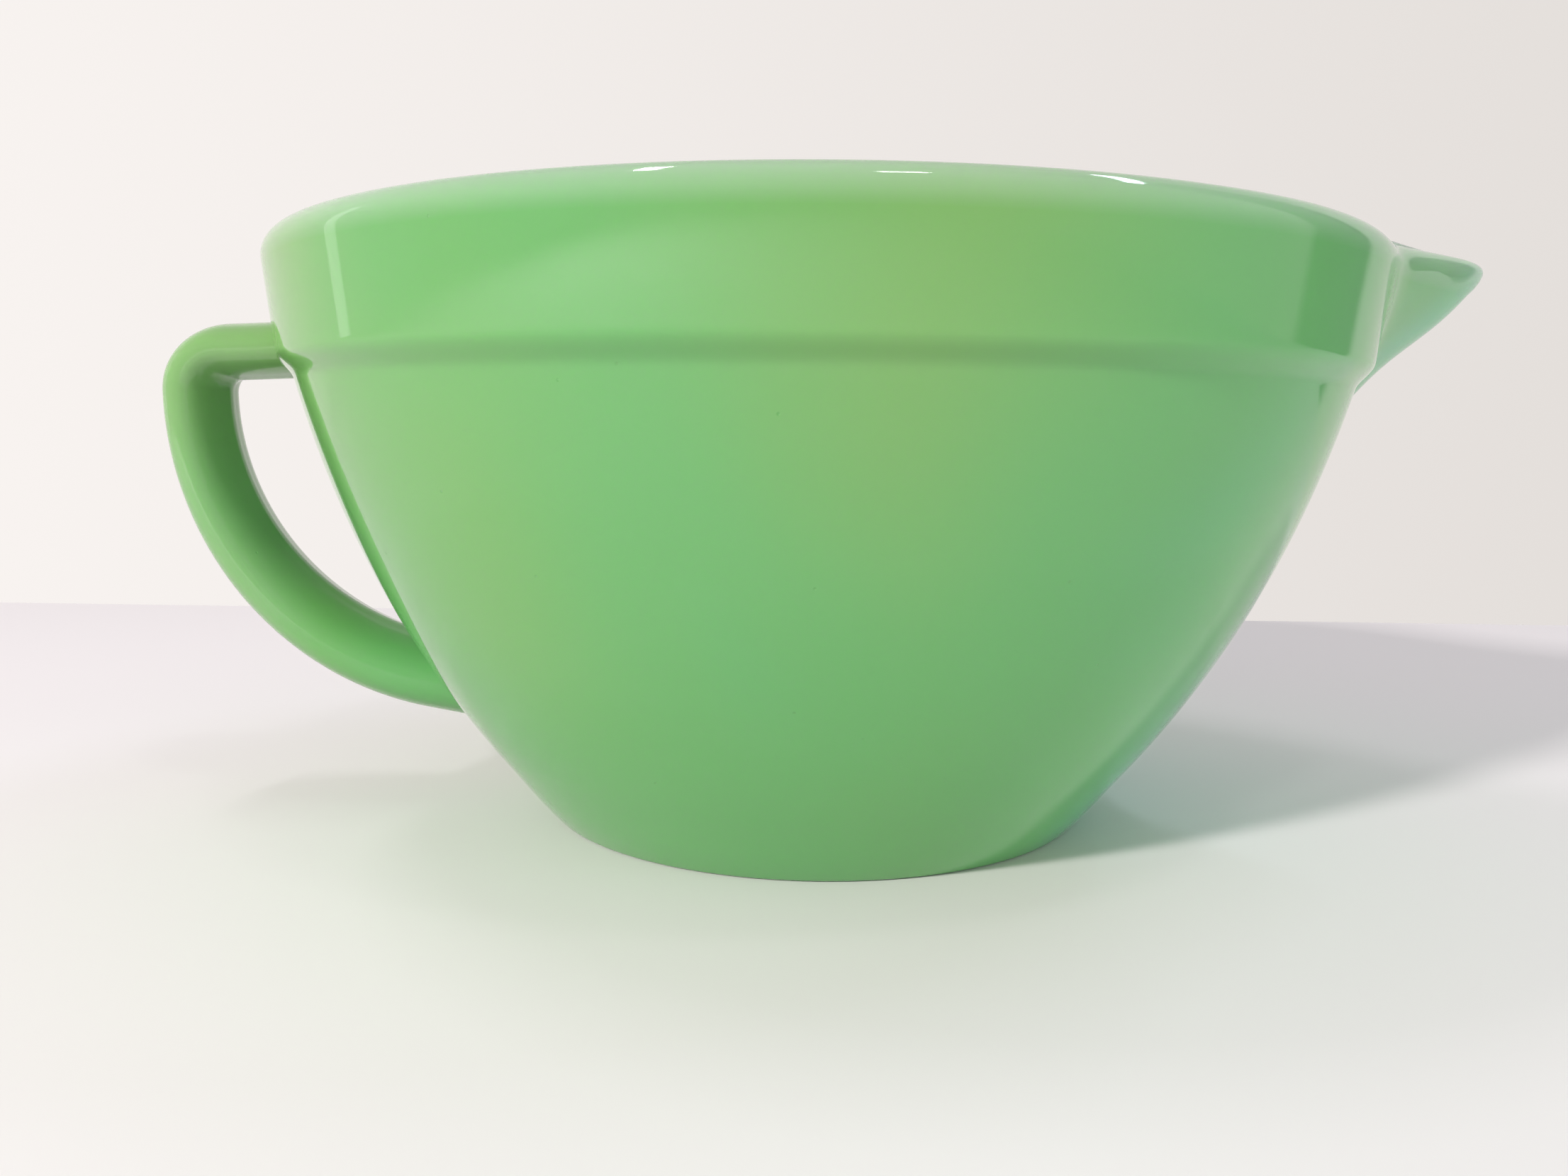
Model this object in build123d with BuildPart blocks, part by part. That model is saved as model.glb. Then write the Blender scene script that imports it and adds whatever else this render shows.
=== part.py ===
"""Handled batter bowl with a pouring spout, pressed in opaque green glass.

The real bowl is one continuous pressing. Its moulded regions are made here as separate solids that meet
face to face: foot ring, floor, wall, rim band, spout and handle. Millimetres, +Z up. The origin is on the
bowl's axis, at the surface it stands on; the spout points along +X and the handle along -X.
"""

from build123d import *
import os
from math import asin, atan2, cos, hypot, radians, sin, sqrt, tan

# Overall sizes
rim_radius = 95.3  # outside of the band, where its draft meets the rim's height
overall_height = 99.2
foot_radius = 49.7  # the circle that the bowl stands on

# Foot and floor
foot_edge = 1.5  # rounding between foot and wall
floor_thickness = 6.0
ring_width = 8.2  # the flat that the bowl stands on
recess_depth = 1.5  # shallow recess inside the foot ring
floor_corner = 12.0  # inside rounding between floor and wall

# Wall, band and rim
step_drop = 22.6  # from the rim down to where the wall meets the band's step
step_width = 2.5  # how far the band stands out from the wall
step_height = 3.3  # the step slopes out over this height
band_draft = 2.2  # the band opens out by this much up to the rim
wall_thickness = 5.3
wall_bow = 5.5  # how far the outside bows out of a straight cone
rim_thickness = 7.0
lip_radius = 4.2  # fire-polished rounding of the rim's outside
inner_lip_radius = 2.4
most_outer_round = 0.62  # a rounding takes at most this share of the rim's thickness
most_inner_round = 0.35

# Spout
spout_length = 23.5  # from the rim's radius to the tip
spout_half_angle = 34.0  # the sector of the rim that the spout takes up, to each side
flank_angle = 45.0  # in plan, between each flank and the spout's own line
tip_roundness = 6.5  # rounding in plan where the two flanks meet outside
channel_roundness = 5.0  # the same inside
flank_spread = 40.0  # the flanks are drawn this far round, to end inside the glass of the wall
keel_root_drop = 8.4  # from the step down to where the keel leaves the wall
nose_radius = 6.0  # rounding of the keel under the tip
spout_wall = 5.0
spout_lip = 2.0  # rounding of the spout's upper edges
most_round = 0.43  # that rounding takes at most this share of the spout's wall

# Handle
arm_drop = 15.9  # from the rim down to the middle of the upper arm, at the wall
arm_slope = 2.5  # the arm droops by this angle on its way out
handle_corner = 7.6  # bend radius of the outer top corner
grip_gap = 16.4  # room for fingers between the band and the grip
root_height = 21.8  # where the long curve down from the grip would level out
sweep_angle = 80.0  # the long curve turns this far, and runs on straight into the wall
arm_thickness = 10.0  # in the plane of the loop, at the upper arm
grip_thickness = 10.5  # the same at the outside of the loop
root_thickness = 13.0  # the same at the lower root
grip_width = 20.0  # across the loop, along Y
root_width = 23.0

recess_radius = foot_radius - foot_edge - ring_width

# The outside line: a bowed wall from the foot to the step, the step, and the drafted band
band_bottom_radius = rim_radius - band_draft
wall_top_radius = band_bottom_radius - step_width
wall_top_height = overall_height - step_drop
band_bottom_height = wall_top_height + step_height
wall_foot = (foot_radius, foot_edge)
wall_head = (wall_top_radius, wall_top_height)
band_foot = (band_bottom_radius, band_bottom_height)
band_head = (rim_radius, overall_height)
chord = hypot(wall_top_radius - foot_radius, wall_top_height - foot_edge)
lean = atan2(wall_top_radius - foot_radius, wall_top_height - foot_edge)
wall_arc = chord**2 / (8 * wall_bow) + wall_bow / 2
arc_x = (foot_radius + wall_top_radius) / 2 - (wall_arc - wall_bow) * cos(lean)
arc_z = (foot_edge + wall_top_height) / 2 + (wall_arc - wall_bow) * sin(lean)


def wall_radius(height, inset=0.0):
    """Radius of the wall's arc at a height, or of the arc that lies inset inside it."""
    return arc_x + sqrt((wall_arc - inset) ** 2 - (height - arc_z) ** 2)


def along(start, end, height):
    """Radius at a height on the straight line between two (radius, height) points."""
    return start[0] + (end[0] - start[0]) * (height - start[1]) / (end[1] - start[1])


# The inside line keeps the wall's thickness up to the knee, then stands up to the rim
inner_foot = (wall_radius(floor_thickness, wall_thickness), floor_thickness)
inner_knee = (wall_radius(wall_top_height, wall_thickness), wall_top_height)
inner_head = (rim_radius - rim_thickness, overall_height)


def outer_radius(height):
    """Outside radius of the bowl without its spout."""
    if height <= wall_top_height:
        return wall_radius(height)
    if height <= band_bottom_height:
        return along(wall_head, band_foot, height)
    return along(band_foot, band_head, height)


def inner_radius(height):
    """Inside radius of the bowl without its spout."""
    if height <= wall_top_height:
        return wall_radius(height, wall_thickness)
    return along(inner_knee, inner_head, height)


with BuildSketch(Plane.XZ) as half_section:
    with BuildLine():
        Polyline((foot_radius - foot_edge, 0), (recess_radius, 0), (recess_radius, recess_depth))
        Polyline((recess_radius, recess_depth), (0, recess_depth), (0, floor_thickness), inner_foot)
        RadiusArc(inner_foot, inner_knee, wall_thickness - wall_arc)
        Polyline(inner_knee, inner_head, band_head, band_foot, wall_head)
        RadiusArc(wall_foot, wall_head, -wall_arc)
        RadiusArc((foot_radius - foot_edge, 0), wall_foot, -foot_edge)
    make_face()

with BuildPart() as bowl:
    add(half_section.sketch)
    revolve(axis=Axis.Z)
    inner_rim, outer_rim = bowl.edges().group_by(Axis.Z)[-1].sort_by(SortBy.RADIUS)
    fillet(outer_rim, min(lip_radius, most_outer_round * rim_thickness))
    inner_rim = bowl.edges().group_by(Axis.Z)[-1].sort_by(SortBy.RADIUS)[0]
    fillet(inner_rim, min(inner_lip_radius, most_inner_round * rim_thickness))
    floor_edge = bowl.edges().filter_by(lambda edge: abs(edge.center().Z - floor_thickness) < 0.01)
    fillet(floor_edge, floor_corner)

# The spout's plan is a rounded V that runs into the bowl's circle. Its keel is a straight line that ends in
# a nose.
spout_root_height = wall_top_height - keel_root_drop
nose_x = rim_radius + spout_length - nose_radius
root_to_nose = (nose_x - wall_radius(spout_root_height), overall_height - spout_root_height)
keel_angle = atan2(root_to_nose[1], root_to_nose[0]) - asin(nose_radius / hypot(*root_to_nose))


def flank_reach(angle, tip, roundness):
    """Radius at an angle round the axis of a rounded V whose tip is this far out on the +X side."""
    ahead = cos(radians(angle))
    aside = sin(radians(angle)) / tan(radians(flank_angle))
    apex = tip + roundness
    root = sqrt((aside * apex) ** 2 + (ahead**2 - aside**2) * roundness**2)
    return (apex**2 - roundness**2) / (apex * ahead + root)


def keel_reach(height, inset=0.0):
    """How far the keel stands from the axis at a height, or a line that lies inset inside it."""
    nose = nose_radius - inset
    below = overall_height - height
    if below <= nose * cos(keel_angle):
        return nose_x + sqrt(nose**2 - below**2)
    run = (below - nose * cos(keel_angle)) * cos(keel_angle) / sin(keel_angle)
    return nose_x + nose * sin(keel_angle) - run


def plan_curve(tip, roundness):
    """Points of the rounded V at one height."""
    stations = 16
    points = []
    for i in range(stations + 1):
        angle = flank_spread * (2 * i / stations - 1)
        radius = flank_reach(angle, tip, roundness)
        points.append((radius * cos(radians(angle)), radius * sin(radians(angle))))
    return points


def plan_face(tip, roundness, height):
    """The region between the rounded V and a line nearer to the axis, at one height."""
    points = plan_curve(tip, roundness)
    right = (points[0][0] / 2, points[0][1] / 2)
    left = (points[-1][0] / 2, points[-1][1] / 2)
    with BuildSketch(Plane.XY.offset(height)) as plan:
        with BuildLine():
            Spline(*points)
            Polyline(points[-1], left, right, points[0])
        make_face()
    return plan.sketch


buried_height = spout_root_height - spout_wall / 2
rise = overall_height - buried_height
spout_heights = [buried_height + rise * share for share in (0, 0.25, 0.5, 0.75, 0.85, 0.95, 1)]

with BuildPart() as channel:
    for height in spout_heights:
        add(plan_face(keel_reach(height, spout_wall), channel_roundness, height))
    loft()

# Everything inside the bowl's inner surface, from below the spout upwards
with BuildPart() as cavity:
    with BuildSketch(Plane.XZ):
        with BuildLine():
            Polyline(inner_foot, (0, floor_thickness), (0, overall_height), inner_head, inner_knee)
            RadiusArc(inner_foot, inner_knee, wall_thickness - wall_arc)
        make_face()
    revolve(axis=Axis.Z)

# The sector that the spout takes out of the wall and the band
sector_reach = 2 * rim_radius
with BuildPart() as sector:
    with BuildSketch(Plane.XY.offset(spout_root_height)):
        with BuildLine():
            side_x = sector_reach * cos(radians(spout_half_angle))
            side_y = sector_reach * sin(radians(spout_half_angle))
            Polyline((0, 0), (side_x, -side_y), (side_x, side_y), (0, 0))
        make_face()
    extrude(amount=overall_height)

with BuildPart() as pour_spout:
    for height in spout_heights:
        add(plan_face(keel_reach(height), tip_roundness, height))
    loft()
    outer_edge = pour_spout.edges().group_by(Axis.Z)[-1].sort_by(SortBy.LENGTH)[-1]
    fillet(outer_edge, min(spout_lip, most_round * spout_wall))
    add(cavity.part, mode=Mode.SUBTRACT)
    add(bowl.part)
    add(channel.part, mode=Mode.SUBTRACT)
    add(sector.part, mode=Mode.INTERSECT)

# The handle's centre line: a drooping arm, a tight corner, a long sweep and a straight run to the wall
arm_height = overall_height - arm_drop
arm_x = -outer_radius(arm_height)
grip_x = arm_x - grip_gap - grip_thickness / 2
bend_x = grip_x + handle_corner * (1 - sin(radians(arm_slope)))
bend_z = arm_height - (arm_x - bend_x) * tan(radians(arm_slope))
corner_z = bend_z - handle_corner * cos(radians(arm_slope))
handle_sweep = corner_z - root_height
sweep_x = grip_x + handle_sweep
run_in = foot_radius / 2  # the ends start this far from the axis and are trimmed at the wall
sweep_end = (
    sweep_x - handle_sweep * cos(radians(sweep_angle)),
    corner_z - handle_sweep * sin(radians(sweep_angle)),
)

with BuildLine(Plane.XZ) as centre_line:
    Line((-run_in, arm_height + (-run_in - arm_x) * tan(radians(arm_slope))), (bend_x, bend_z))
    RadiusArc((bend_x, bend_z), (grip_x, corner_z), -handle_corner)
    RadiusArc((grip_x, corner_z), sweep_end, -handle_sweep)
    PolarLine(sweep_end, -run_in - sweep_end[0], angle=sweep_angle - 90, length_mode=LengthMode.HORIZONTAL)


def handle_section(share, thickness, width):
    """An oval across the centre line, at a share of its length."""
    point = centre_line.line @ share
    across = Plane(point, x_dir=(0, 1, 0), z_dir=centre_line.line % share)
    with BuildSketch(across) as oval:
        Ellipse(width / 2, thickness / 2)
    return oval.sketch


def length_share(index):
    """The share of the centre line's length at the end of one of its pieces."""
    lengths = [edge.length for edge in centre_line.edges()]
    return sum(lengths[: index + 1]) / sum(lengths)


handle_sections = [
    handle_section(0, arm_thickness, grip_width),
    handle_section(length_share(0), arm_thickness, grip_width),
    handle_section(length_share(1), grip_thickness, grip_width),
    handle_section(length_share(2), root_thickness, root_width),
    handle_section(1, root_thickness, root_width),
]

with BuildPart() as core:
    with BuildSketch(Plane.XZ):
        with BuildLine():
            Polyline(wall_foot, (foot_radius - foot_edge, 0), (0, 0), (0, overall_height), band_head)
            Polyline(band_head, band_foot, wall_head)
            RadiusArc(wall_foot, wall_head, -wall_arc)
        make_face()
    revolve(axis=Axis.Z)

with BuildPart() as handle:
    sweep(sections=handle_sections, path=centre_line.line, multisection=True)
    add(core.part, mode=Mode.SUBTRACT)

with BuildPart() as foot_ring:
    add(bowl.part)
    split(bisect_by=Plane.XY.offset(floor_thickness), keep=Keep.BOTTOM)
    Cylinder(recess_radius, overall_height, mode=Mode.SUBTRACT)

with BuildPart() as bowl_floor:
    add(bowl.part)
    split(bisect_by=Plane.XY.offset(floor_thickness), keep=Keep.BOTTOM)
    Cylinder(recess_radius, overall_height, mode=Mode.INTERSECT)

with BuildPart() as bowl_wall:
    add(bowl.part)
    split(bisect_by=Plane.XY.offset(floor_thickness), keep=Keep.TOP)
    split(bisect_by=Plane.XY.offset(wall_top_height), keep=Keep.BOTTOM)
    add(sector.part, mode=Mode.SUBTRACT)

with BuildPart() as rim_band:
    add(bowl.part)
    split(bisect_by=Plane.XY.offset(wall_top_height), keep=Keep.TOP)
    add(sector.part, mode=Mode.SUBTRACT)

os.makedirs("parts", exist_ok=True)
foot_ring.part.label = "foot_ring"
export_step(foot_ring.part, "parts/foot_ring.step")
bowl_floor.part.label = "bowl_floor"
export_step(bowl_floor.part, "parts/bowl_floor.step")
bowl_wall.part.label = "bowl_wall"
export_step(bowl_wall.part, "parts/bowl_wall.step")
rim_band.part.label = "rim_band"
export_step(rim_band.part, "parts/rim_band.step")
pour_spout.part.label = "pour_spout"
export_step(pour_spout.part, "parts/pour_spout.step")
handle.part.label = "handle"
export_step(handle.part, "parts/handle.step")
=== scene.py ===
from math import asin, atan2, copysign, cos, exp, hypot, pi, radians, sin, sqrt, tan, tau

import bmesh
import bpy
from bpy.props import FloatProperty, PointerProperty, StringProperty
from bpy.types import Operator, Panel, PropertyGroup
from mathutils import Matrix, Vector


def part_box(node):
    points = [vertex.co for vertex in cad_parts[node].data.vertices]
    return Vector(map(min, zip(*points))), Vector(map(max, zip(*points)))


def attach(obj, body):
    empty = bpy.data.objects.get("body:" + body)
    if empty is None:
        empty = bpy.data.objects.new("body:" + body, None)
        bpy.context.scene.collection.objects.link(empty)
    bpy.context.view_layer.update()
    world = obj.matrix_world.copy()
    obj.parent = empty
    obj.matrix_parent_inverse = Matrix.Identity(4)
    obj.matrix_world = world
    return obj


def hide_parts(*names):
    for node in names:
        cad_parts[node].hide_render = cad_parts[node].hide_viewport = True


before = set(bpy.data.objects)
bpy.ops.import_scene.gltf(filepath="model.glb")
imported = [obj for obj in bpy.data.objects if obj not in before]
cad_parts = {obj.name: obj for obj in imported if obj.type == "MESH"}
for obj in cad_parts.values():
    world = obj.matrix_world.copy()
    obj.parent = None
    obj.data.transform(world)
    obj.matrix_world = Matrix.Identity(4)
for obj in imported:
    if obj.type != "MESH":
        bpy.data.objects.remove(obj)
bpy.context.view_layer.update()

bl_info = {
    "name": "Pressed Glass Batter Bowl",
    "version": (1, 0, 0),
    "blender": (4, 5, 0),
    "location": "3D View > Sidebar > Batter Bowl",
    "description": "Builds a jade glass batter bowl with a spout and a loop handle, and its studio",
    "category": "Object",
}

MM = 0.001

BAND_LOW, BAND_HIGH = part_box("rim_band")
FLOOR_LOW, FLOOR_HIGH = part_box("bowl_floor")
SPOUT_LOW, SPOUT_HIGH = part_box("pour_spout")
HANDLE_LOW, HANDLE_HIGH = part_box("handle")

# The V runs into the circle of the bowl between these two bearings from the spout's own line
SPOUT_FULL, SPOUT_EDGE = radians(45), radians(62)
# and its keel runs into the wall from this far below the spout's own glass
SPOUT_RUN_OUT = 12 * MM
# The handle's long curve turns by this much and then runs on straight into the wall
SWEEP_ANGLE = radians(80)


# ---------------------------------------------------------------- sizes and colours a user may change


class BowlSizes(PropertyGroup):
    """The bowl's section: foot, wall, band and rim."""

    rim_radius: FloatProperty(
        name="Rim Radius",
        description="Outside of the band, where its draft meets the height of the rim",
        default=BAND_HIGH[1] + 0.4 * MM,
        unit="LENGTH",
    )
    height: FloatProperty(
        name="Height",
        description="From the surface it stands on to the top of the rim",
        default=BAND_HIGH[2],
        unit="LENGTH",
    )
    foot_radius: FloatProperty(
        name="Foot Radius",
        description="Radius of the circle that the bowl stands on",
        default=49.7 * MM,
        unit="LENGTH",
    )
    foot_edge: FloatProperty(
        name="Foot Edge",
        description="Rounding between the foot and the wall",
        default=1.5 * MM,
        unit="LENGTH",
    )
    step_width: FloatProperty(
        name="Step Width",
        description="How far the band stands out from the wall",
        default=2.5 * MM,
        unit="LENGTH",
    )
    step_height: FloatProperty(
        name="Step Height",
        description="Height over which the step slopes out",
        default=3.3 * MM,
        unit="LENGTH",
    )
    band_draft: FloatProperty(
        name="Band Draft",
        description="How much the band opens out up to the rim",
        default=2.2 * MM,
        unit="LENGTH",
    )
    wall_thickness: FloatProperty(
        name="Wall Thickness",
        description="Thickness of the flared wall",
        default=5.3 * MM,
        unit="LENGTH",
    )
    wall_bow: FloatProperty(
        name="Wall Bow",
        description="How far the wall bows out of a straight cone",
        default=5.5 * MM,
        unit="LENGTH",
    )
    rim_thickness: FloatProperty(
        name="Rim Thickness",
        description="Thickness of the band at the rim",
        default=7.0 * MM,
        unit="LENGTH",
    )
    lip_radius: FloatProperty(
        name="Lip Radius",
        description="Fire-polished rounding of the rim's outside",
        default=4.4 * MM,
        unit="LENGTH",
    )
    inner_lip_radius: FloatProperty(
        name="Inner Lip Radius",
        description="Rounding of the rim's inside",
        default=2.4 * MM,
        unit="LENGTH",
    )
    floor_corner: FloatProperty(
        name="Floor Corner",
        description="Inside rounding between the floor and the wall",
        default=12.0 * MM,
        unit="LENGTH",
    )


class SpoutSizes(PropertyGroup):
    """The pouring spout, a rounded V that runs into the bowl's circle."""

    flank_angle: FloatProperty(
        name="Flank Angle",
        description="Angle in plan between each flank and the spout's own line",
        default=radians(45),
        subtype="ANGLE",
    )
    tip_roundness: FloatProperty(
        name="Tip Roundness",
        description="Rounding in plan where the two flanks meet outside",
        default=6.5 * MM,
        unit="LENGTH",
    )
    channel_roundness: FloatProperty(
        name="Channel Roundness",
        description="Rounding in plan where the two flanks meet inside",
        default=5.0 * MM,
        unit="LENGTH",
    )
    valley: FloatProperty(
        name="Valley",
        description="Softness of the hollow where a flank runs into the round band",
        default=1.4 * MM,
        unit="LENGTH",
    )
    keel_sway: FloatProperty(
        name="Keel Sway",
        description="How far the keel bends in below its middle and out above it",
        default=0.6 * MM,
        unit="LENGTH",
    )
    nose_radius: FloatProperty(
        name="Nose Radius",
        description="Rounding of the keel under the tip",
        default=6.0 * MM,
        unit="LENGTH",
    )
    wall: FloatProperty(
        name="Spout Wall",
        description="Thickness of the glass at the spout's keel",
        default=5.0 * MM,
        unit="LENGTH",
    )
    lip_radius: FloatProperty(
        name="Spout Lip",
        description="Rounding of the glass at the tip, where the pour breaks off",
        default=1.8 * MM,
        unit="LENGTH",
    )


class HandleSizes(PropertyGroup):
    """The loop handle, an oval swept along arm, corner and long curve."""

    corner: FloatProperty(
        name="Corner",
        description="Bend radius at the outer top corner",
        default=7.6 * MM,
        unit="LENGTH",
    )
    arm_slope: FloatProperty(
        name="Arm Slope",
        description="The arm droops by this angle on its way out",
        default=radians(2.5),
        subtype="ANGLE",
    )
    arm_thickness: FloatProperty(
        name="Arm Thickness",
        description="Thickness of the upper arm in the plane of the loop",
        default=10.0 * MM,
        unit="LENGTH",
    )
    grip_thickness: FloatProperty(
        name="Grip Thickness",
        description="Thickness at the outside of the loop",
        default=10.5 * MM,
        unit="LENGTH",
    )
    root_thickness: FloatProperty(
        name="Root Thickness",
        description="Thickness where the lower end meets the wall",
        default=13.0 * MM,
        unit="LENGTH",
    )
    grip_width: FloatProperty(
        name="Grip Width",
        description="Width across the loop",
        default=20.0 * MM,
        unit="LENGTH",
    )
    root_width: FloatProperty(
        name="Root Width",
        description="Width across the lower root",
        default=23.0 * MM,
        unit="LENGTH",
    )
    root_height: FloatProperty(
        name="Root Height",
        description="Height at which the long curve would level out",
        default=21.8 * MM,
        unit="LENGTH",
    )
    root_fillet: FloatProperty(
        name="Root Fillet",
        description="Small rounding where the handle runs into the bowl",
        default=1.3 * MM,
        unit="LENGTH",
    )


class GlassColours(PropertyGroup):
    """Colours of the jade glass, as sRGB hex strings."""

    jade: StringProperty(name="Jade", description="Main colour of the milky glass", default="#67A864")
    # Warm and cool jade colour the melt's random clouds and also the painted warm light on the handle side
    # and the painted cool light on the spout side
    warm_jade: StringProperty(
        name="Warm Jade", description="Yellower clouds of the melt", default="#76A45B"
    )
    cool_jade: StringProperty(name="Cool Jade", description="Bluer clouds of the melt", default="#54B287")
    # The pale colour of the painted sheen on the rim and the handle
    painted_sheen_jade: StringProperty(name="Thin Jade", description="Paler thin glass", default="#AEBAB0")
    seed: StringProperty(name="Seed", description="Tiny bubbles under the surface", default="#62A05C")


# ---------------------------------------------------------------- small helpers


def to_linear(colour):
    """Linear RGBA for an sRGB hex string."""
    colour = [int(colour[i : i + 2], 16) / 255 for i in (1, 3, 5)]
    return tuple(c / 12.92 if c <= 0.04045 else ((c + 0.055) / 1.055) ** 2.4 for c in colour) + (1.0,)


def mix(start, end, share):
    """The value a share of the way between two others."""
    return start + (end - start) * share


def ease(share):
    """0 to 1 with soft ends."""
    share = min(1.0, max(0.0, share))
    return share * share * (3 - 2 * share)


def soft_positive(value, softness):
    """value where it is positive and 0 where it is negative, with a rounded corner between."""
    return (value + sqrt(value * value + softness * softness)) / 2


def steps(count):
    """Shares from just after 0 up to 1, evenly spaced."""
    return [i / count for i in range(1, count + 1)]


def per_mm(size_mm):
    """Texture scale, in metres, that gives features of this many millimetres."""
    return 1000.0 / size_mm


def new_object(name, mesh):
    """Links a mesh to the scene as an object."""
    piece = bpy.data.objects.new(name, mesh)
    bpy.context.scene.collection.objects.link(piece)
    return piece


def add_node(tree, kind, inputs=None, links=None, **settings):
    """Adds a node, sets its properties and inputs, and links its inputs to other nodes' outputs."""
    node = tree.nodes.new(kind)
    for name, value in settings.items():
        setattr(node, name, value)
    for name, value in (inputs or {}).items():
        node.inputs[name].default_value = value
    for name, source in (links or {}).items():
        tree.links.new(source, node.inputs[name])
    return node


# ---------------------------------------------------------------- the bowl's section


class Section:
    """Radii of the bowl at each height, without and with its spout."""

    def __init__(self, sizes, spout):
        self.sizes = sizes
        self.spout = spout
        self.step_z = BAND_LOW[2]
        self.step_top = self.step_z + sizes.step_height
        self.band_bottom = sizes.rim_radius - sizes.band_draft
        self.floor_z = FLOOR_HIGH[2]
        foot = (sizes.foot_radius, sizes.foot_edge)
        head = (self.band_bottom - sizes.step_width, self.step_z)
        chord = hypot(head[0] - foot[0], head[1] - foot[1])
        lean = atan2(head[0] - foot[0], head[1] - foot[1])
        self.arc = chord**2 / (8 * sizes.wall_bow) + sizes.wall_bow / 2
        self.arc_x = (foot[0] + head[0]) / 2 - (self.arc - sizes.wall_bow) * cos(lean)
        self.arc_z = (foot[1] + head[1]) / 2 + (self.arc - sizes.wall_bow) * sin(lean)
        self.knee_radius = self.wall(self.step_z, sizes.wall_thickness)
        self.nose_x = SPOUT_HIGH[0] + 0.4 * MM - spout.nose_radius
        root = (self.nose_x - self.wall(SPOUT_LOW[2]), sizes.height - SPOUT_LOW[2])
        self.keel_angle = atan2(root[1], root[0]) - asin(spout.nose_radius / hypot(*root))

    def wall(self, z, inset=0.0):
        """Radius of the wall's arc, or of the arc that lies inset inside it."""
        return self.arc_x + sqrt((self.arc - inset) ** 2 - (z - self.arc_z) ** 2)

    def band(self, z):
        """Radius of the drafted band."""
        share = (z - self.step_top) / (self.sizes.height - self.step_top)
        return self.band_bottom + self.sizes.band_draft * share

    def outside(self, z):
        """Outside radius of the round bowl."""
        softening = 0.3 * MM
        ledge = ease((z - self.step_z + softening) / (self.sizes.step_height + 2 * softening))
        return mix(self.wall(z), self.band(z), ledge)

    def inside(self, z):
        """Inside radius: the wall's thickness up to the step, then standing up to the rim."""
        if z <= self.step_z:
            return self.wall(z, self.sizes.wall_thickness)
        top = self.sizes.rim_radius - self.sizes.rim_thickness
        share = (z - self.step_z) / (self.sizes.height - self.step_z)
        just_below = self.wall(self.step_z - MM, self.sizes.wall_thickness)
        run = (self.knee_radius - just_below) / MM * (self.sizes.height - self.step_z)
        return self.knee_radius + run * share + (top - self.knee_radius - run) * share**2

    def keel(self, z, inset=0.0):
        """How far the keel stands from the axis: nearly straight, tangent to a round nose."""
        nose = self.spout.nose_radius - inset
        below = self.sizes.height - z
        if below <= nose * cos(self.keel_angle):
            return self.nose_x + sqrt(max(0.0, nose**2 - below**2))
        line = (below - nose * cos(self.keel_angle)) / tan(self.keel_angle)
        sway_start, sway_height = SPOUT_LOW[2] + 8 * MM, 18 * MM
        sway = sin(tau * min(1.0, max(0.0, (z - sway_start) / sway_height)))
        return self.nose_x + nose * sin(self.keel_angle) - line - self.spout.keel_sway * sway

    def spout_line(self, angle, tip, roundness):
        """Radius at an azimuth of a rounded V whose tip is this far out on the +X side."""
        ahead, aside = cos(angle), sin(angle) / tan(self.spout.flank_angle)
        apex = tip + roundness
        root = sqrt((aside * apex) ** 2 + (ahead**2 - aside**2) * roundness**2)
        return (apex**2 - roundness**2) / (apex * ahead + root)

    def with_spout(self, angle, z, body, tip, roundness):
        """The round body's radius, or the V's where that stands out, with a soft hollow between."""
        above_start = z - (SPOUT_LOW[2] - SPOUT_RUN_OUT)
        fade = ease((SPOUT_EDGE - abs(angle)) / (SPOUT_EDGE - SPOUT_FULL)) * ease(above_start / (14 * MM))
        if fade <= 0.0:
            return body
        gap = self.spout_line(min(abs(angle), SPOUT_FULL), tip, roundness) - body
        softness = 2 * self.spout.valley * ease(above_start / (26 * MM))
        return body + fade * soft_positive(gap, softness)

    def outer(self, angle, z):
        """Outside radius with the spout."""
        return self.with_spout(angle, z, self.outside(z), self.keel(z), self.spout.tip_roundness)

    def inner(self, angle, z):
        """Inside radius with the spout's channel."""
        tip = self.keel(z, self.spout.wall)
        return self.with_spout(angle, z, self.inside(z), tip, self.spout.channel_roundness)

    def points(self, angle):
        """The section at an azimuth, as (radius, height), from under the foot over the rim to the floor."""
        sizes = self.sizes
        angle = (angle + pi) % tau - pi
        # 0 on the round rim and 1 at the spout, which stands a little higher and has its own thinner lip
        spouting = ease((self.outer(angle, sizes.height) - self.outside(sizes.height)) / (20 * MM))
        top = sizes.height - 0.3 * MM * (1 - spouting)
        lip = mix(sizes.lip_radius, self.spout.lip_radius, spouting)
        inner_lip = mix(sizes.inner_lip_radius, self.spout.lip_radius, spouting)
        return [
            *self.foot_points(),
            *self.outside_points(angle, top - lip),
            *self.rim_points(angle, top, lip, inner_lip),
            *self.inside_points(angle, top - inner_lip),
        ]

    def foot_points(self):
        """The recess, its soft edge, the flat ring that the bowl stands on and the turn into the wall."""
        foot_edge, softening = self.sizes.foot_edge, 1.2 * MM
        recess_radius, recess_height = FLOOR_HIGH[0], FLOOR_LOW[2]
        flat_radius = self.sizes.foot_radius - foot_edge
        line = [((recess_radius - softening) * share, recess_height) for share in steps(8)]
        for share in steps(8):
            radius = recess_radius + mix(-softening, softening, share)
            line.append((radius, recess_height * (1 - ease(share))))
        line += [(mix(recess_radius + softening, flat_radius, share), 0.0) for share in steps(4)]
        for share in steps(6):
            turn = share * radians(52)
            line.append((flat_radius + foot_edge * sin(turn), foot_edge * (1 - cos(turn))))
        return line

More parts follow.
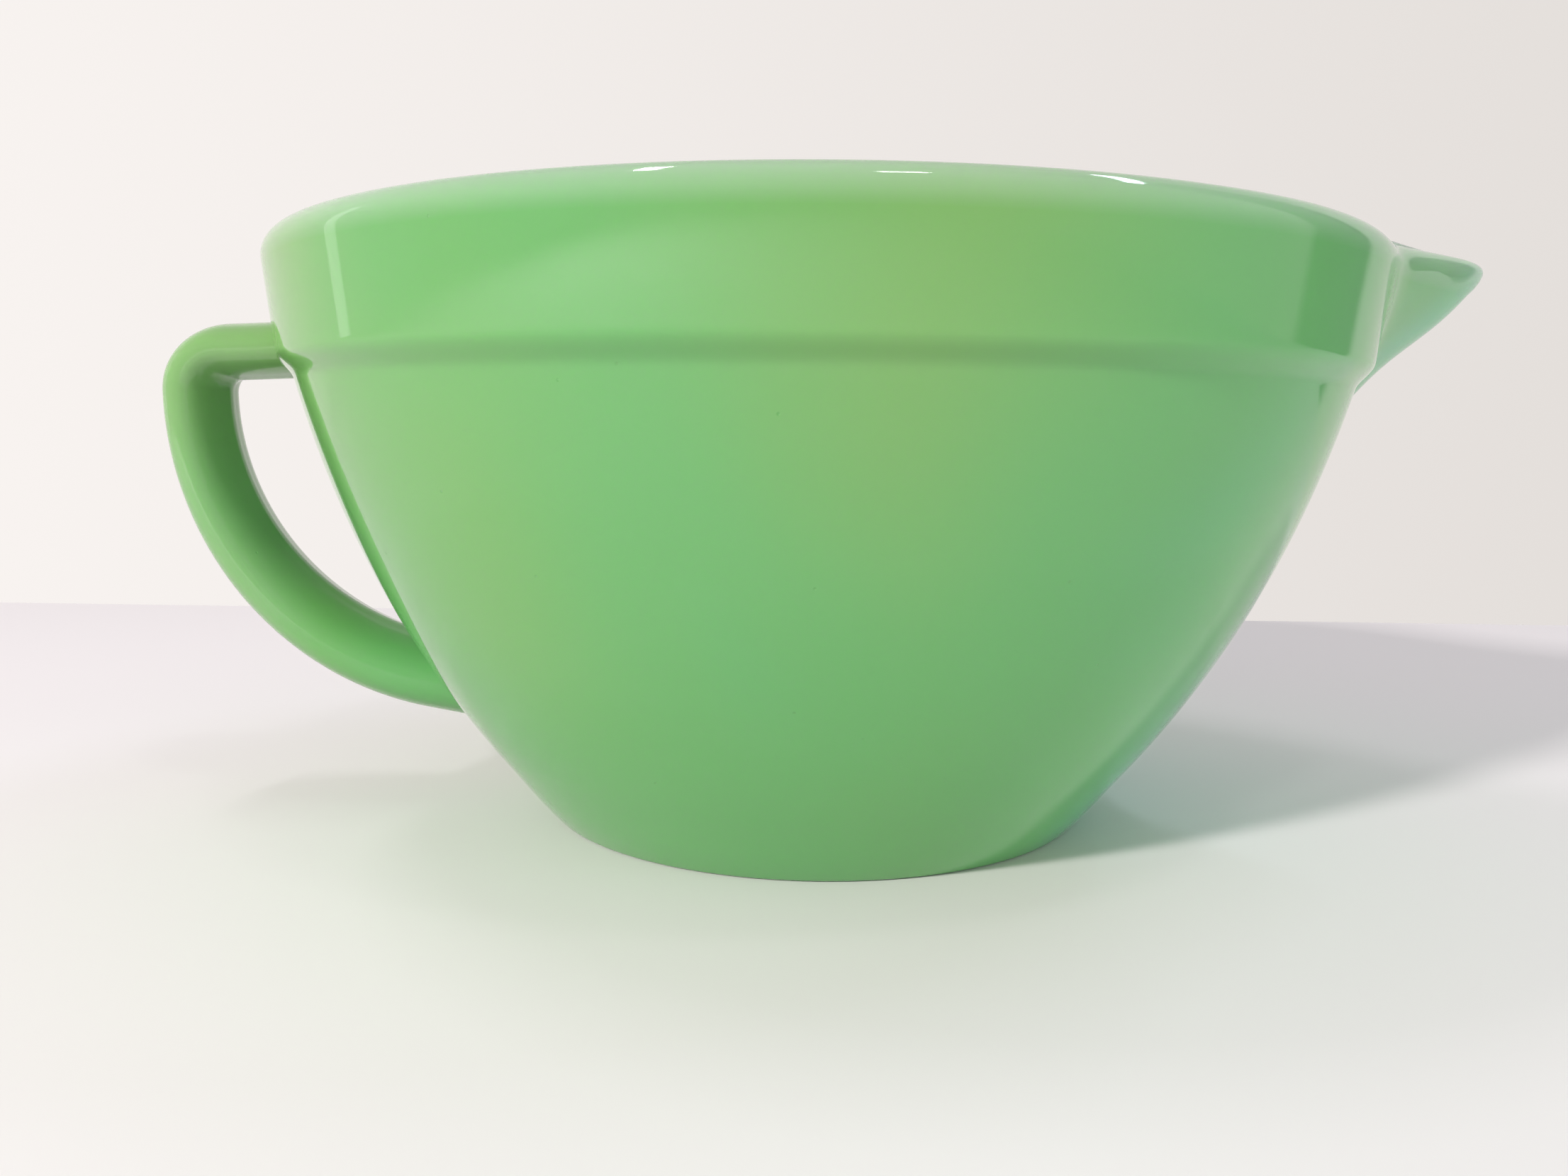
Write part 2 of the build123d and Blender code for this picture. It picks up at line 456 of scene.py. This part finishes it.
    def outside_points(self, angle, lip_foot):
        """The wall from the foot's rounding up, the step, which is drawn finer, and the band."""
        join, start = self.foot_points()[-1]
        shift = join - self.wall(start)
        ledge_low, ledge_high = self.step_z - 1.2 * MM, self.step_top + 1.2 * MM
        line = []
        for i, share in enumerate(steps(44), 1):
            z = mix(start, ledge_low, share)
            line.append((self.outer(angle, z) + shift * (1 - ease(i / 6)), z))
        for low, high in ((ledge_low, ledge_high), (ledge_high, lip_foot)):
            for share in steps(14):
                z = mix(low, high, share)
                line.append((self.outer(angle, z), z))
        return line

    def rim_points(self, angle, top, lip, inner_lip):
        """Over the rim: the outer rounding, the narrow crest and the inner rounding."""
        line = []
        for share in steps(12):
            turn = pi / 2 * share
            z = top - lip * (1 - sin(turn))
            line.append((self.outer(angle, z) - lip * (1 - cos(turn)), z))
        outer_crest, inner_crest = line[-1][0], self.inner(angle, top) + inner_lip
        line += [(mix(outer_crest, inner_crest, share), top) for share in steps(4)[:-1]]
        for share in reversed(steps(12)):
            turn = pi / 2 * share
            z = top - inner_lip * (1 - sin(turn))
            line.append((self.inner(angle, z) + inner_lip * (1 - cos(turn)), z))
        return line

    def inside_points(self, angle, lip_foot):
        """Down the inside, round the corner and in across the floor."""
        corner, slope = self.sizes.floor_corner, self.floor_slope()
        low = self.floor_z + corner * (1 - sin(slope))
        line = []
        for share in [0.0, *steps(52)]:
            z = mix(lip_foot, low, share)
            line.append((self.inner(angle, z), z))
        centre_radius = self.inside(low) - corner * cos(slope)
        for share in steps(12):
            turn = mix(slope, pi / 2, share)
            line.append((centre_radius + corner * cos(turn), self.floor_z + corner - corner * sin(turn)))
        line += [(centre_radius * (1 - share), self.floor_z) for share in steps(9)[:-1]]
        return line

    def floor_slope(self):
        """Angle below the horizontal at which the inside wall meets the floor's rounding."""
        z = self.floor_z + 5 * MM  # near the top of the rounding
        lean = (self.wall(z + MM, self.sizes.wall_thickness) - self.wall(z, self.sizes.wall_thickness)) / MM
        return atan2(lean, 1.0)


def revolve_section(section, name):
    """A closed mesh from the section at every azimuth, with more columns across the spout."""
    columns = []
    angle = -180.0
    while angle < 180.0 - 1e-6:
        columns.append(radians(angle))
        # Degrees to the next column: fine at the tip, middling along the flanks and coarse round the bowl
        angle += 0.5 if -8 <= angle < 8 else 0.8 if -48 <= angle < 48 else 2.0
    mesh = bpy.data.meshes.new(name)
    build = bmesh.new()
    rings = []
    for angle in columns:
        points = section.points(angle)
        rings.append([build.verts.new((r * cos(angle), r * sin(angle), z)) for r, z in points])
    under = build.verts.new((0, 0, FLOOR_LOW[2]))
    floor = build.verts.new((0, 0, FLOOR_HIGH[2]))
    for i, ring in enumerate(rings):
        after = rings[(i + 1) % len(rings)]
        build.faces.new((under, after[0], ring[0]))
        for j in range(len(ring) - 1):
            build.faces.new((ring[j], after[j], after[j + 1], ring[j + 1]))
        build.faces.new((ring[-1], after[-1], floor))
    for face in build.faces:
        face.smooth = True
    bmesh.ops.recalc_face_normals(build, faces=build.faces)
    build.to_mesh(mesh)
    build.free()
    return mesh


# ---------------------------------------------------------------- the handle


class Loop:
    """The handle's centre line, with the glass to each side of it."""

    def __init__(self, sizes):
        self.sizes = sizes
        self.arm_z = HANDLE_HIGH[2] - sizes.arm_thickness / 2
        self.arm_x = BAND_LOW[0] + 1.1 * MM  # where the arm leaves the drafted band
        self.grip_x = HANDLE_LOW[0] + sizes.grip_thickness / 2
        self.corner_x = self.grip_x + sizes.corner
        self.bend_x = self.corner_x - sizes.corner * sin(sizes.arm_slope)
        self.corner_z = self.arm(self.bend_x) - sizes.corner * cos(sizes.arm_slope)
        self.sweep = self.corner_z - sizes.root_height
        self.sweep_x = self.grip_x + self.sweep

    def arm(self, x):
        """Height of the drooping arm's middle."""
        return self.arm_z + (x - self.arm_x) * tan(self.sizes.arm_slope)

    def stations(self):
        """(x, z, heading, half thickness, half width) along the loop. Heading 0 runs along -X."""
        sizes = self.sizes
        found = []
        start_x = -88 * MM  # inside the glass of the band
        for share in [0.0, *steps(16)]:
            x = mix(start_x, self.bend_x, share)
            found.append((x, self.arm(x), sizes.arm_slope, sizes.arm_thickness / 2, sizes.grip_width / 2))
        for share in steps(18):
            turn = mix(sizes.arm_slope, pi / 2, share)
            half = mix(sizes.arm_thickness, sizes.grip_thickness, ease(share)) / 2
            x = self.corner_x - sizes.corner * sin(turn)
            z = self.corner_z + sizes.corner * cos(turn)
            found.append((x, z, turn, half, sizes.grip_width / 2))
        for share in steps(48):
            turn = SWEEP_ANGLE * share
            half = mix(sizes.grip_thickness, sizes.root_thickness, ease(share)) / 2
            wide = mix(sizes.grip_width, sizes.root_width, ease(share)) / 2
            x = self.sweep_x - self.sweep * cos(turn)
            z = self.corner_z - self.sweep * sin(turn)
            found.append((x, z, pi / 2 + turn, half, wide))
        return found


def handle_oval(half, wide):
    """(depth, across) round the handle: an oval, fuller outside, with a faint seam along its inside."""
    sides = 72
    fullness, seam_height, seam_width = 2.15, 0.35 * MM, 1.6 * MM
    line = []
    for k in range(sides):
        c, s = cos(tau * k / sides), sin(tau * k / sides)
        power = 2 / fullness if c >= 0 else 1.0
        across = copysign(wide * abs(s) ** power, s)
        depth = copysign(half * abs(c) ** power, c)
        if c < 0:
            depth -= seam_height * exp(-((across / seam_width) ** 2))
        line.append((depth, across))
    return line


def flared(section, point, away, fillet):
    """The point, moved away from the handle's middle where it is near the bowl, which rounds the joint."""
    clear = hypot(point.x, point.y) - section.outside(min(point.z, section.sizes.height))
    flare = max(0.0, 1 - max(clear, 0.0) / fillet)
    return point + away * fillet * (1 - sqrt(max(0.0, 1 - flare * flare)))


def reach_into_wall(section, point, ahead):
    """How far a point runs on before it is in the middle of the wall's glass."""
    near, far = 0.0, 30 * MM
    for _ in range(30):
        middle = (near + far) / 2
        spot = point + ahead * middle
        wall_middle = (section.outside(spot.z) + section.inside(spot.z)) / 2
        near, far = (middle, far) if hypot(spot.x, spot.y) > wall_middle else (near, middle)
    return near


def handle_mesh(loop, section, name):
    """A closed tube along the loop. Its ends sit inside the bowl's glass, and flare where they leave it."""
    fillet = loop.sizes.root_fillet
    mesh = bpy.data.meshes.new(name)
    build = bmesh.new()
    rings = []
    for x, z, turn, half, wide in loop.stations():
        out = Vector((-sin(turn), 0, cos(turn)))
        strands = []
        for depth, across in handle_oval(half, wide):
            from_middle = out * depth + Vector((0, across, 0))
            strands.append((Vector((x, 0, z)) + from_middle, from_middle.normalized()))
        rings.append([build.verts.new(flared(section, point, away, fillet)) for point, away in strands])
    # From the last station every strand runs straight on until it is in the middle of the wall
    ahead = Vector((-cos(turn), 0, -sin(turn)))
    runs = [reach_into_wall(section, point, ahead) for point, away in strands]
    for share in steps(16):
        spots = [(point + ahead * run * share, away) for (point, away), run in zip(strands, runs)]
        rings.append([build.verts.new(flared(section, spot, away, fillet)) for spot, away in spots])
    sides = len(rings[0])
    for ring, after in zip(rings, rings[1:]):
        for k in range(sides):
            build.faces.new((ring[k], ring[(k + 1) % sides], after[(k + 1) % sides], after[k]))
    build.faces.new(rings[0])
    build.faces.new(rings[-1])
    for face in build.faces:
        face.smooth = len(face.verts) == 4
    bmesh.ops.recalc_face_normals(build, faces=build.faces)
    build.to_mesh(mesh)
    build.free()
    return mesh


# ---------------------------------------------------------------- materials


def jade_glass(colours):
    """Soda-lime glass made milky with opal salts and coloured green, pressed and fire-polished."""
    material = bpy.data.materials.new("jade_opal_glass")
    material.use_nodes = True
    tree = material.node_tree
    shader = tree.nodes["Principled BSDF"]
    place = add_node(tree, "ShaderNodeTexCoord").outputs["Object"]
    # The melt is not quite even: broad soft clouds, a little yellower here and bluer there
    melt = add_node(
        tree, "ShaderNodeTexNoise",
        {"Scale": per_mm(95), "Detail": 1.5, "Roughness": 0.4, "Distortion": 0.4}, {"Vector": place},
    )
    # and painted light: the glass is tinted a little yellower towards the handle and the rim, as if lit
    # warm from there, and bluer towards the spout and the foot, as if lit cool from that side
    side = add_node(
        tree, "ShaderNodeVectorMath", {1: (-1.3, 0.0, 1.3)}, {0: place}, operation="DOT_PRODUCT"
    )
    melt_and_painted_light = add_node(
        tree, "ShaderNodeMath", {1: 0.6}, {0: melt.outputs["Fac"], 2: side.outputs["Value"]},
        operation="MULTIPLY_ADD",
    )
    # The ramp colours both the melt's random clouds and the painted warm and cool light
    clouds = add_node(tree, "ShaderNodeValToRGB", links={"Fac": melt_and_painted_light.outputs["Value"]})
    clouds.color_ramp.interpolation = "EASE"
    clouds.color_ramp.elements[0].position = 0.14
    clouds.color_ramp.elements[0].color = to_linear(colours.cool_jade)
    clouds.color_ramp.elements[1].position = 0.54
    clouds.color_ramp.elements[1].color = to_linear(colours.warm_jade)
    clouds.color_ramp.elements.new(0.34).color = to_linear(colours.jade)
    # Painted sheen: the fire-polished rim and, faintly, the handle are mixed towards a pale colour, so they
    # are paler than the thick wall, standing in for the bright room that their rounded glass mirrors
    axes = add_node(tree, "ShaderNodeSeparateXYZ", links={"Vector": place})
    rim = add_node(
        tree, "ShaderNodeMapRange",
        {"From Min": 93.5 * MM, "From Max": 98.6 * MM, "To Min": 0.0, "To Max": 0.6},
        {"Value": axes.outputs["Z"]},
    )
    # Painted sheen on the handle's arm, fainter than on the rim
    arm = add_node(
        tree, "ShaderNodeMapRange",
        {"From Min": -90 * MM, "From Max": -100 * MM, "To Min": 0.0, "To Max": 0.1},
        {"Value": axes.outputs["X"]},
    )
    thin = add_node(
        tree, "ShaderNodeMath", links={0: rim.outputs["Result"], 1: arm.outputs["Result"]},
        operation="MAXIMUM",
    )
    body = add_node(
        tree, "ShaderNodeMixRGB", {"Color2": to_linear(colours.painted_sheen_jade)},
        {"Fac": thin.outputs["Value"], "Color1": clouds.outputs["Color"]},
    )
    # Seeds, the tiny bubbles of the melt, show as sparse dark pinpricks, drawn coarse enough to show
    seeds = add_node(tree, "ShaderNodeTexVoronoi", {"Scale": per_mm(9)}, {"Vector": place})
    pinprick = add_node(
        tree, "ShaderNodeMapRange",
        {"From Min": 0.012, "From Max": 0.03, "To Min": 0.8, "To Max": 0.0},
        {"Value": seeds.outputs["Distance"]},
    )
    tinted = add_node(
        tree, "ShaderNodeMixRGB", {"Color2": to_linear(colours.seed)},
        {"Fac": pinprick.outputs["Result"], "Color1": body.outputs["Color"]},
    )
    tree.links.new(tinted.outputs["Color"], shader.inputs["Base Color"])
    # The mould's slow ripples bend the reflections a little, and each seed leaves a dimple
    ripple = add_node(tree, "ShaderNodeTexNoise", {"Scale": per_mm(26), "Detail": 1.0}, {"Vector": place})
    ripples = add_node(
        tree, "ShaderNodeBump", {"Strength": 0.35, "Distance": 0.25 * MM}, {"Height": ripple.outputs["Fac"]}
    )
    dimples = add_node(
        tree, "ShaderNodeBump", {"Strength": 0.5, "Distance": 0.15 * MM},
        {"Height": pinprick.outputs["Result"], "Normal": ripples.outputs["Normal"]}, invert=True,
    )
    tree.links.new(dimples.outputs["Normal"], shader.inputs["Normal"])
    shader.inputs["IOR"].default_value = 1.6
    shader.inputs["Roughness"].default_value = 0.05
    # Light goes a few millimetres into the milky body, green deepest
    shader.inputs["Subsurface Weight"].default_value = 0.6
    shader.inputs["Subsurface Radius"].default_value = (0.6, 1.0, 0.5)
    shader.inputs["Subsurface Scale"].default_value = 4 * MM
    return material


def painted_board():
    """A board with a smooth off-white satin paint, rolled on so that it has a very fine orange peel."""
    material = bpy.data.materials.new("painted_board")
    material.use_nodes = True
    tree = material.node_tree
    shader = tree.nodes["Principled BSDF"]
    shader.inputs["Base Color"].default_value = to_linear("#ECE7EA")
    shader.inputs["Roughness"].default_value = 0.6
    shader.inputs["Specular IOR Level"].default_value = 0.2
    place = add_node(tree, "ShaderNodeTexCoord").outputs["Object"]
    peel = add_node(tree, "ShaderNodeTexNoise", {"Scale": per_mm(1.5), "Detail": 2.0}, {"Vector": place})
    bump = add_node(
        tree, "ShaderNodeBump", {"Strength": 0.1, "Distance": 0.05 * MM}, {"Height": peel.outputs["Fac"]}
    )
    tree.links.new(bump.outputs["Normal"], shader.inputs["Normal"])
    return material


# ---------------------------------------------------------------- operators


class PressBowl(Operator):
    """Build the foot, wall, band and spout as one closed body of glass"""

    bl_idname = "batter_bowl.press_bowl"
    bl_label = "Press Bowl"

    def execute(self, context):
        scene = context.scene
        section = Section(scene.bowl_sizes, scene.bowl_spout)
        piece = new_object("glass_bowl", revolve_section(section, "glass_bowl"))
        piece.data.materials.append(get_glass(scene))
        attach(piece, "root")
        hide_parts("foot_ring", "bowl_floor", "bowl_wall", "rim_band", "pour_spout")
        return {"FINISHED"}


class PressHandle(Operator):
    """Build the loop handle that grows out of the wall"""

    bl_idname = "batter_bowl.press_handle"
    bl_label = "Press Handle"

    def execute(self, context):
        scene = context.scene
        section = Section(scene.bowl_sizes, scene.bowl_spout)
        piece = new_object("glass_handle", handle_mesh(Loop(scene.bowl_handle), section, "glass_handle"))
        piece.data.materials.append(get_glass(scene))
        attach(piece, "root")
        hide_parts("handle")
        return {"FINISHED"}


def get_glass(scene):
    """The bowl and its handle share one batch of glass."""
    return bpy.data.materials.get("jade_opal_glass") or jade_glass(scene.bowl_colours)


class SetStage(Operator):
    """Lay the pale floor, hang the lights and place the camera"""

    bl_idname = "batter_bowl.set_stage"
    bl_label = "Set Stage"

    def execute(self, context):
        scene = context.scene
        board_mesh = bpy.data.meshes.new("board")
        build = bmesh.new()
        left, right, near, far, under = -1.5, 1.5, -1.5, 0.24, -0.02
        bmesh.ops.create_cube(build, size=1.0)
        for vert in build.verts:
            vert.co.x = right if vert.co.x > 0 else left
            vert.co.y = far if vert.co.y > 0 else near
            vert.co.z = 0.0 if vert.co.z > 0 else under
        build.to_mesh(board_mesh)
        build.free()
        board = new_object("board", board_mesh)
        board_mesh.materials.append(painted_board())
        light_room(scene)
        place_camera(scene)
        return {"FINISHED"}


def light_room(scene):
    """A white room, brighter on the left, with a few lamps. The glaze mirrors it."""
    world = bpy.data.worlds.new("white_room")
    world.use_nodes = True
    scene.world = world
    tree = world.node_tree
    place = add_node(tree, "ShaderNodeTexCoord").outputs["Generated"]
    split = add_node(tree, "ShaderNodeSeparateXYZ", links={"Vector": place})
    across = add_node(
        tree, "ShaderNodeMapRange", {"From Min": -0.6, "From Max": 0.6}, {"Value": split.outputs["X"]}
    )
    walls = add_node(tree, "ShaderNodeValToRGB", links={"Fac": across.outputs["Result"]})
    walls.color_ramp.elements[0].color = to_linear("#F9F4F1")
    walls.color_ramp.elements[1].color = to_linear("#E2DDD9")
    # The room is dimmer in its front left corner and at the ceiling, and a dark doorway stands to the right
    facing = add_node(
        tree, "ShaderNodeVectorMath", {1: (-0.5, -0.82, 0.28)}, {0: place}, operation="DOT_PRODUCT"
    )
    corner = add_node(
        tree, "ShaderNodeMapRange",
        {"From Min": 0.0, "From Max": 0.9, "To Min": 1.0, "To Max": 0.6},
        {"Value": facing.outputs["Value"]}, interpolation_type="SMOOTHSTEP",
    )
    ceiling = add_node(
        tree, "ShaderNodeMapRange",
        {"From Min": 0.45, "From Max": 0.8, "To Min": 1.0, "To Max": 0.5},
        {"Value": split.outputs["Z"]},
    )
    walls_light = add_node(
        tree, "ShaderNodeMath", links={0: corner.outputs["Result"], 1: ceiling.outputs["Result"]},
        operation="MULTIPLY",
    )
    bearing = add_node(
        tree, "ShaderNodeMath", links={0: split.outputs["Y"], 1: split.outputs["X"]}, operation="ARCTAN2"
    )
    post = add_node(
        tree, "ShaderNodeMapRange",
        {"From Min": 0.15, "From Max": 0.2, "To Min": 1.0, "To Max": 0.3},
        {"Value": bearing.outputs["Value"]},
    )
    jamb = add_node(
        tree, "ShaderNodeMapRange",
        {"From Min": 0.58, "From Max": 0.64, "To Min": 0.0, "To Max": 0.7},
        {"Value": bearing.outputs["Value"]},
    )
    door = add_node(
        tree, "ShaderNodeMath", links={0: post.outputs["Result"], 1: jamb.outputs["Result"]},
        operation="ADD",
    )
    light = add_node(
        tree, "ShaderNodeMath", links={0: walls_light.outputs["Value"], 1: door.outputs["Value"]},
        operation="MULTIPLY",
    )
    background = tree.nodes["Background"]
    tree.links.new(walls.outputs["Color"], background.inputs["Color"])
    tree.links.new(light.outputs["Value"], background.inputs["Strength"])
    # These light the glass and the board, and the glaze doesn't mirror them
    add_lamp("key", (-0.88, -1.08, 0.77), (0.14, 0.14), 21.0, "#FFFAF7", mirrored=False)
    add_lamp("skylight", (0.0, 0.05, 1.3), (1.2, 0.5), 0.5, "#E4EEFF", mirrored=False)
    add_lamp("front_window", (1.25, -2.1, 0.16), (1.5, 0.25), 9.0, "#E6F4FF", mirrored=False)
    add_lamp("cool_fill", (2.3, -0.46, 0.16), (0.8, 0.25), 12.0, "#D2F4FB", mirrored=False)
    # These are weaker, and show as the small bright strips on the rim and the band
    add_lamp("window", (-1.7, 0.35, 0.4), (0.12, 0.9), 0.3, "#FFFFFF")
    add_lamp("ceiling_left", (-0.39, 0.12, 1.28), (0.34, 0.06), 1.6, "#FFFFFF")
    add_lamp("ceiling_right", (0.66, 0.33, 1.17), (0.5, 0.06), 2.0, "#E0F0FF")
    add_lamp("ceiling_near", (0.22, -0.4, 1.22), (0.14, 0.08), 0.6, "#FFFFFF")


def add_lamp(name, place, size, power, colour, mirrored=True):
    """A rectangular soft lamp that faces the bowl. Its size is (width, height)."""
    light = bpy.data.lights.new(name, "AREA")
    light.shape = "RECTANGLE"
    light.size, light.size_y = size
    light.energy = power
    light.color = to_linear(colour)[:3]
    lamp = bpy.data.objects.new(name, light)
    bpy.context.scene.collection.objects.link(lamp)
    lamp.location = place
    lamp.visible_glossy = mirrored
    aim = Vector((0, 0, 0.05)) - Vector(place)
    lamp.rotation_euler = aim.to_track_quat("-Z", "Y").to_euler()


def place_camera(scene):
    """A short lens close to the bowl, a little below the rim and looking slightly down."""
    camera = bpy.data.cameras.new("camera")
    camera.sensor_width = 36.0
    camera.lens = 29.29
    camera.clip_start = 0.01
    holder = bpy.data.objects.new("camera", camera)
    scene.collection.objects.link(holder)
    yaw, pitch, roll = radians(-1.44), radians(-7.02), radians(0.637)
    ahead = Vector((sin(yaw) * cos(pitch), cos(yaw) * cos(pitch), sin(pitch)))
    level = Vector((cos(yaw), -sin(yaw), 0))
    upward = level.cross(ahead)
    right = cos(roll) * level + sin(roll) * upward
    up = -sin(roll) * level + cos(roll) * upward
    turn = Matrix((right, up, -ahead)).transposed().to_4x4()
    holder.matrix_world = Matrix.Translation((0, -238.1 * MM, 68.8 * MM)) @ turn
    scene.camera = holder


class BatterBowlPanel(Panel):
    """Lists the steps that build the bowl"""

    bl_idname = "VIEW3D_PT_batter_bowl"
    bl_label = "Batter Bowl"
    bl_space_type = "VIEW_3D"
    bl_region_type = "UI"
    bl_category = "Batter Bowl"

    def draw(self, context):
        for step in STEPS:
            self.layout.operator(step.bl_idname)


GROUPS = {
    "bowl_sizes": BowlSizes,
    "bowl_spout": SpoutSizes,
    "bowl_handle": HandleSizes,
    "bowl_colours": GlassColours,
}
STEPS = (PressBowl, PressHandle, SetStage)
CLASSES = (*GROUPS.values(), *STEPS, BatterBowlPanel)


def register():
    """Makes the properties, operators and panel known to Blender."""
    for item in CLASSES:
        bpy.utils.register_class(item)
    for name, group in GROUPS.items():
        setattr(bpy.types.Scene, name, PointerProperty(type=group))


def unregister():
    """Takes them away again."""
    for name in GROUPS:
        delattr(bpy.types.Scene, name)
    for item in reversed(CLASSES):
        bpy.utils.unregister_class(item)


def main():
    """Builds the bowl on its stage."""
    register()
    bpy.context.scene.view_settings.view_transform = "Standard"
    bpy.ops.batter_bowl.press_bowl()
    bpy.ops.batter_bowl.press_handle()
    bpy.ops.batter_bowl.set_stage()


if __name__ == "__main__":
    main()
